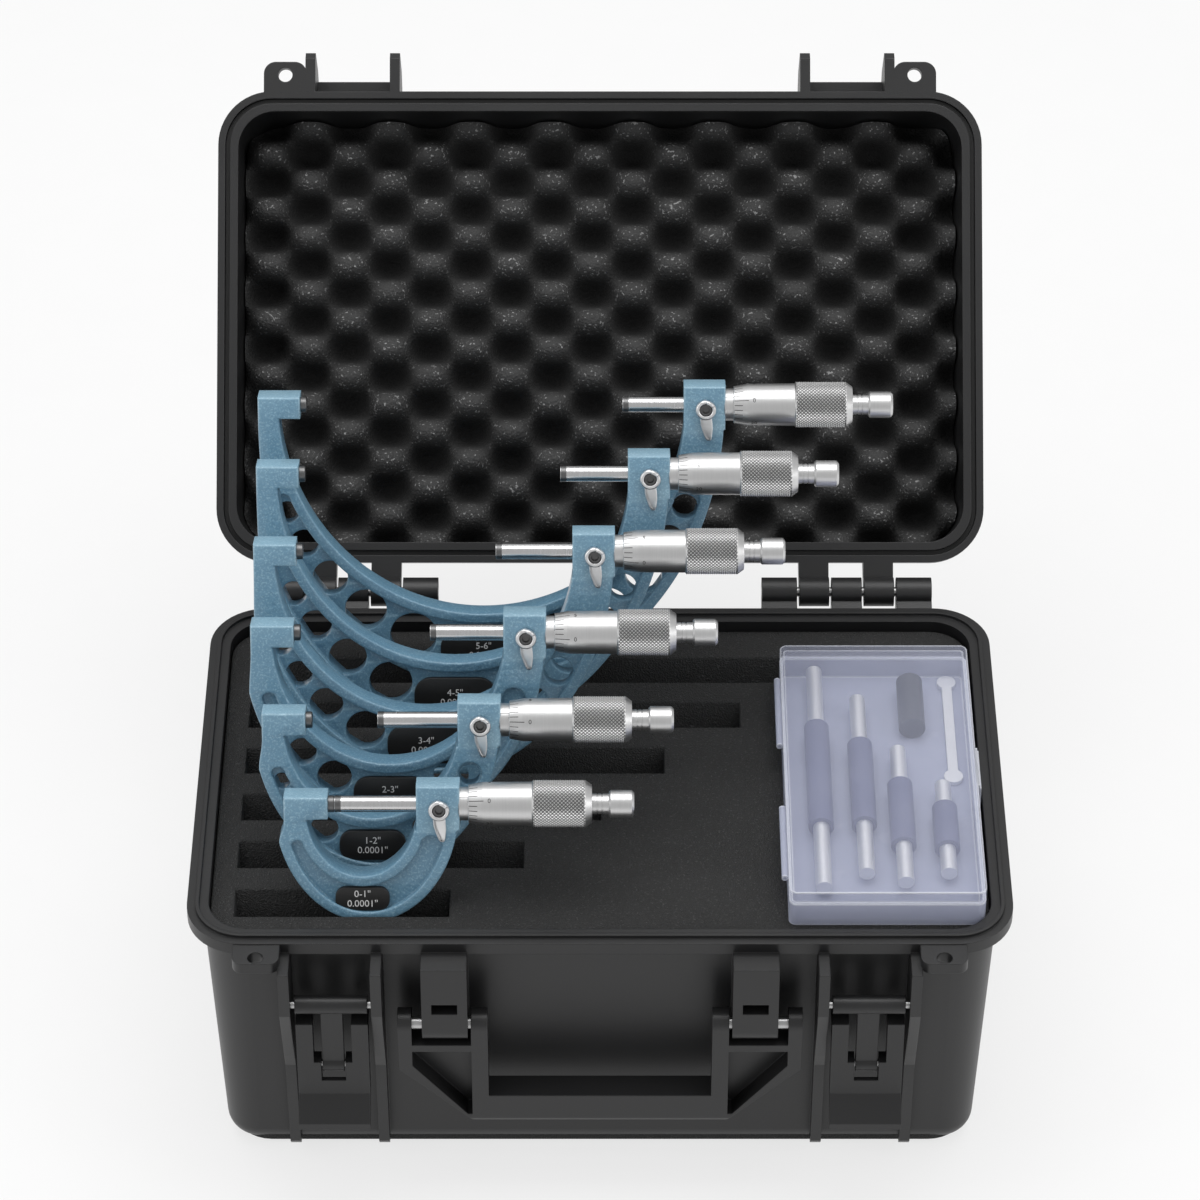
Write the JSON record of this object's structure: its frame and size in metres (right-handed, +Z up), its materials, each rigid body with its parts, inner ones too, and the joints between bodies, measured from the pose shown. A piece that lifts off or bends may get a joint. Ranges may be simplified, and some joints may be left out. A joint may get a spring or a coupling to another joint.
{
  "type": "micrometer case",
  "caption": "Moulded case with hinged lid, draw latches and folding handle, holding outside micrometers in slotted foam beside a clear box of setting standards.",
  "frame": {"origin": "centre of the underside of the case", "axes": "+X to the right seen from the front, +Y to the hinges, +Z up"},
  "size_m": [0.32, 0.4037, 0.2812],
  "materials": {
    "case_plastic": "satin moulded black",
    "case_foam": "closed-cell foam, matte black",
    "lid_foam": "egg-crate foam, matte black",
    "seal_rubber": "matte",
    "pin_steel": "bright",
    "frame_paint": "light blue hammered enamel",
    "plate_black": "satin black",
    "satin_chrome": "satin chrome",
    "bright_steel": "ground",
    "clear_box": "frosted translucent",
    "grip_blue": "satin dark",
    "capsule_dark": "dark"
  },
  "bodies": {
    "base": {"base_shell": "case_plastic", "foam_insert": "case_foam", "hinge_pins": "pin_steel", "latch_pivot_pins": "pin_steel"},
    "lid": {"lid_shell": "case_plastic", "lid_seal": "seal_rubber", "lid_foam": "lid_foam"},
    "handle": {"carry_handle": "case_plastic", "handle_pins": "pin_steel"},
    "standards_box": {"standards_tray": "clear_box", "standards_hinges": "clear_box", "setting_rods": "bright_steel", "rod_grips": "grip_blue", "standard_capsule": "capsule_dark", "spanner": "bright_steel"},
    "standards_box_cover": {"standards_cover": "clear_box"},
    "latch_link_left": {"latch_link_left": "case_plastic"},
    "latch_lever_left": {"latch_lever_left": "case_plastic", "lever_pin_left": "pin_steel"},
    "latch_link_right": {"latch_link_right": "case_plastic"},
    "latch_lever_right": {"latch_lever_right": "case_plastic", "lever_pin_right": "pin_steel"},
    "micrometer_1": {"micrometer_1_frame": "frame_paint", "micrometer_1_plates": "plate_black", "micrometer_1_sleeve": "satin_chrome"},
    "micrometer_1_spindle": {"micrometer_1_spindle": "bright_steel"},
    "micrometer_1_thimble": {"micrometer_1_thimble": "satin_chrome"},
    "micrometer_1_lock": {"micrometer_1_lock": "satin_chrome"},
    "micrometer_2": {"micrometer_2_frame": "frame_paint", "micrometer_2_plates": "plate_black", "micrometer_2_sleeve": "satin_chrome"},
    "micrometer_2_spindle": {"micrometer_2_spindle": "bright_steel"},
    "micrometer_2_thimble": {"micrometer_2_thimble": "satin_chrome"},
    "micrometer_2_lock": {"micrometer_2_lock": "satin_chrome"},
    "micrometer_3": {"micrometer_3_frame": "frame_paint", "micrometer_3_plates": "plate_black", "micrometer_3_sleeve": "satin_chrome"},
    "micrometer_3_spindle": {"micrometer_3_spindle": "bright_steel"},
    "micrometer_3_thimble": {"micrometer_3_thimble": "satin_chrome"},
    "micrometer_3_lock": {"micrometer_3_lock": "satin_chrome"},
    "micrometer_4": {"micrometer_4_frame": "frame_paint", "micrometer_4_plates": "plate_black", "micrometer_4_sleeve": "satin_chrome"},
    "micrometer_4_spindle": {"micrometer_4_spindle": "bright_steel"},
    "micrometer_4_thimble": {"micrometer_4_thimble": "satin_chrome"},
    "micrometer_4_lock": {"micrometer_4_lock": "satin_chrome"},
    "micrometer_5": {"micrometer_5_frame": "frame_paint", "micrometer_5_plates": "plate_black", "micrometer_5_sleeve": "satin_chrome"},
    "micrometer_5_spindle": {"micrometer_5_spindle": "bright_steel"},
    "micrometer_5_thimble": {"micrometer_5_thimble": "satin_chrome"},
    "micrometer_5_lock": {"micrometer_5_lock": "satin_chrome"},
    "micrometer_6": {"micrometer_6_frame": "frame_paint", "micrometer_6_plates": "plate_black", "micrometer_6_sleeve": "satin_chrome"},
    "micrometer_6_spindle": {"micrometer_6_spindle": "bright_steel"},
    "micrometer_6_thimble": {"micrometer_6_thimble": "satin_chrome"},
    "micrometer_6_lock": {"micrometer_6_lock": "satin_chrome"}
  },
  "joints": [
    {"name": "lid_hinge", "type": "hinge", "parent": "base", "child": "lid", "pos_m": [0, 0.1115, 0.1216], "axis": [-1, 0, 0], "range_deg": [-134.2, 0]},
    {"name": "handle_hinge", "type": "hinge", "parent": "base", "child": "handle", "pos_m": [0, -0.1045, 0.086], "axis": [-1, 0, 0], "range_deg": [0, 95]},
    {"name": "latch_link_left_hinge", "type": "hinge", "parent": "base", "child": "latch_link_left", "pos_m": [-0.1038, -0.1065, 0.098], "axis": [-1, 0, 0], "range_deg": [0, 172]},
    {"name": "latch_lever_left_hinge", "type": "hinge", "parent": "latch_link_left", "child": "latch_lever_left", "pos_m": [-0.1038, -0.1065, 0.066], "axis": [1, 0, 0], "range_deg": [0, 172]},
    {"name": "latch_link_right_hinge", "type": "hinge", "parent": "base", "child": "latch_link_right", "pos_m": [0.1038, -0.1065, 0.098], "axis": [-1, 0, 0], "range_deg": [0, 172]},
    {"name": "latch_lever_right_hinge", "type": "hinge", "parent": "latch_link_right", "child": "latch_lever_right", "pos_m": [0.1038, -0.1065, 0.066], "axis": [1, 0, 0], "range_deg": [0, 172]},
    {"name": "standards_box_lift", "type": "slide", "parent": "base", "child": "standards_box", "axis": [0, 0, 1], "range_m": [0, 0.02]},
    {"name": "standards_cover_hinge", "type": "hinge", "parent": "standards_box", "child": "standards_box_cover", "pos_m": [0.0717, -0.0115, 0.1299], "axis": [0, -1, 0], "range_deg": [0, 45]},
    {"name": "micrometer_1_lift", "type": "slide", "parent": "base", "child": "micrometer_1", "axis": [0, -0.3746, -0.9272], "range_m": [0, 0.01082]},
    {"name": "micrometer_1_spindle_travel", "type": "slide", "parent": "micrometer_1", "child": "micrometer_1_spindle", "axis": [1, 0, 0], "range_m": [0, 0.0254]},
    {"name": "micrometer_1_thimble_turn", "type": "hinge", "parent": "micrometer_1_spindle", "child": "micrometer_1_thimble", "pos_m": [-0.1255, -0.05564, 0.15651], "axis": [1, 0, 0], "range_deg": [0, 14401]},
    {"name": "micrometer_1_lock_turn", "type": "hinge", "parent": "micrometer_1", "child": "micrometer_1_lock", "pos_m": [-0.062, -0.0612, 0.15876], "axis": [0, -0.9272, 0.3746], "range_deg": [0, 40]},
    {"name": "micrometer_2_lift", "type": "slide", "parent": "base", "child": "micrometer_2", "axis": [0, -0.3746, -0.9272], "range_m": [0, 0.02582]},
    {"name": "micrometer_2_spindle_travel", "type": "slide", "parent": "micrometer_2", "child": "micrometer_2_spindle", "axis": [1, 0, 0], "range_m": [0, 0.0254]},
    {"name": "micrometer_2_thimble_turn", "type": "hinge", "parent": "micrometer_2_spindle", "child": "micrometer_2_thimble", "pos_m": [-0.135, -0.02262, 0.17042], "axis": [1, 0, 0], "range_deg": [0, 14401]},
    {"name": "micrometer_2_lock_turn", "type": "hinge", "parent": "micrometer_2", "child": "micrometer_2_lock", "pos_m": [-0.0465, -0.02819, 0.17267], "axis": [0, -0.9272, 0.3746], "range_deg": [0, 40]},
    {"name": "micrometer_3_lift", "type": "slide", "parent": "base", "child": "micrometer_3", "axis": [0, -0.3746, -0.9272], "range_m": [0, 0.04282]},
    {"name": "micrometer_3_spindle_travel", "type": "slide", "parent": "micrometer_3", "child": "micrometer_3_spindle", "axis": [1, 0, 0], "range_m": [0, 0.0254]},
    {"name": "micrometer_3_thimble_turn", "type": "hinge", "parent": "micrometer_3_spindle", "child": "micrometer_3_thimble", "pos_m": [-0.1405, 0.01115, 0.18618], "axis": [1, 0, 0], "range_deg": [0, 14401]},
    {"name": "micrometer_3_lock_turn", "type": "hinge", "parent": "micrometer_3", "child": "micrometer_3_lock", "pos_m": [-0.029, 0.00558, 0.18843], "axis": [0, -0.9272, 0.3746], "range_deg": [0, 40]},
    {"name": "micrometer_4_lift", "type": "slide", "parent": "base", "child": "micrometer_4", "axis": [0, -0.3746, -0.9272], "range_m": [0, 0.05782]},
    {"name": "micrometer_4_spindle_travel", "type": "slide", "parent": "micrometer_4", "child": "micrometer_4_spindle", "axis": [1, 0, 0], "range_m": [0, 0.0254]},
    {"name": "micrometer_4_thimble_turn", "type": "hinge", "parent": "micrometer_4_spindle", "child": "micrometer_4_thimble", "pos_m": [-0.1405, 0.04417, 0.20009], "axis": [1, 0, 0], "range_deg": [0, 14401]},
    {"name": "micrometer_4_lock_turn", "type": "hinge", "parent": "micrometer_4", "child": "micrometer_4_lock", "pos_m": [-0.002, 0.0386, 0.20234], "axis": [0, -0.9272, 0.3746], "range_deg": [0, 40]},
    {"name": "micrometer_5_lift", "type": "slide", "parent": "base", "child": "micrometer_5", "axis": [0, -0.3746, -0.9272], "range_m": [0, 0.07182]},
    {"name": "micrometer_5_spindle_travel", "type": "slide", "parent": "micrometer_5", "child": "micrometer_5_spindle", "axis": [1, 0, 0], "range_m": [0, 0.0254]},
    {"name": "micrometer_5_thimble_turn", "type": "hinge", "parent": "micrometer_5_spindle", "child": "micrometer_5_thimble", "pos_m": [-0.1405, 0.07681, 0.21307], "axis": [1, 0, 0], "range_deg": [0, 14401]},
    {"name": "micrometer_5_lock_turn", "type": "hinge", "parent": "micrometer_5", "child": "micrometer_5_lock", "pos_m": [0.02, 0.07125, 0.21532], "axis": [0, -0.9272, 0.3746], "range_deg": [0, 40]},
    {"name": "micrometer_6_lift", "type": "slide", "parent": "base", "child": "micrometer_6", "axis": [0, -0.3746, -0.9272], "range_m": [0, 0.08282]},
    {"name": "micrometer_6_spindle_travel", "type": "slide", "parent": "micrometer_6", "child": "micrometer_6_spindle", "axis": [1, 0, 0], "range_m": [0, 0.0254]},
    {"name": "micrometer_6_thimble_turn", "type": "hinge", "parent": "micrometer_6_spindle", "child": "micrometer_6_thimble", "pos_m": [-0.141, 0.10833, 0.22327], "axis": [1, 0, 0], "range_deg": [0, 14401]},
    {"name": "micrometer_6_lock_turn", "type": "hinge", "parent": "micrometer_6", "child": "micrometer_6_lock", "pos_m": [0.0425, 0.10277, 0.22552], "axis": [0, -0.9272, 0.3746], "range_deg": [0, 40]}
  ],
  "couplings": [
    {"joint": "latch_lever_left_hinge", "follows": "latch_link_left_hinge", "ratio": 1},
    {"joint": "latch_lever_right_hinge", "follows": "latch_link_right_hinge", "ratio": 1},
    {"joint": "micrometer_1_lift", "follows": "lid_hinge", "m_per_rad": -0.004611},
    {"joint": "micrometer_1_thimble_turn", "follows": "micrometer_1_spindle_travel", "rad_per_m": 9894.8},
    {"joint": "micrometer_2_lift", "follows": "lid_hinge", "m_per_rad": -0.011015},
    {"joint": "micrometer_2_thimble_turn", "follows": "micrometer_2_spindle_travel", "rad_per_m": 9894.8},
    {"joint": "micrometer_3_lift", "follows": "lid_hinge", "m_per_rad": -0.018273},
    {"joint": "micrometer_3_thimble_turn", "follows": "micrometer_3_spindle_travel", "rad_per_m": 9894.8},
    {"joint": "micrometer_4_lift", "follows": "lid_hinge", "m_per_rad": -0.024677},
    {"joint": "micrometer_4_thimble_turn", "follows": "micrometer_4_spindle_travel", "rad_per_m": 9894.8},
    {"joint": "micrometer_5_lift", "follows": "lid_hinge", "m_per_rad": -0.030655},
    {"joint": "micrometer_5_thimble_turn", "follows": "micrometer_5_spindle_travel", "rad_per_m": 9894.8},
    {"joint": "micrometer_6_lift", "follows": "lid_hinge", "m_per_rad": -0.035351},
    {"joint": "micrometer_6_thimble_turn", "follows": "micrometer_6_spindle_travel", "rad_per_m": 9894.8}
  ]
}
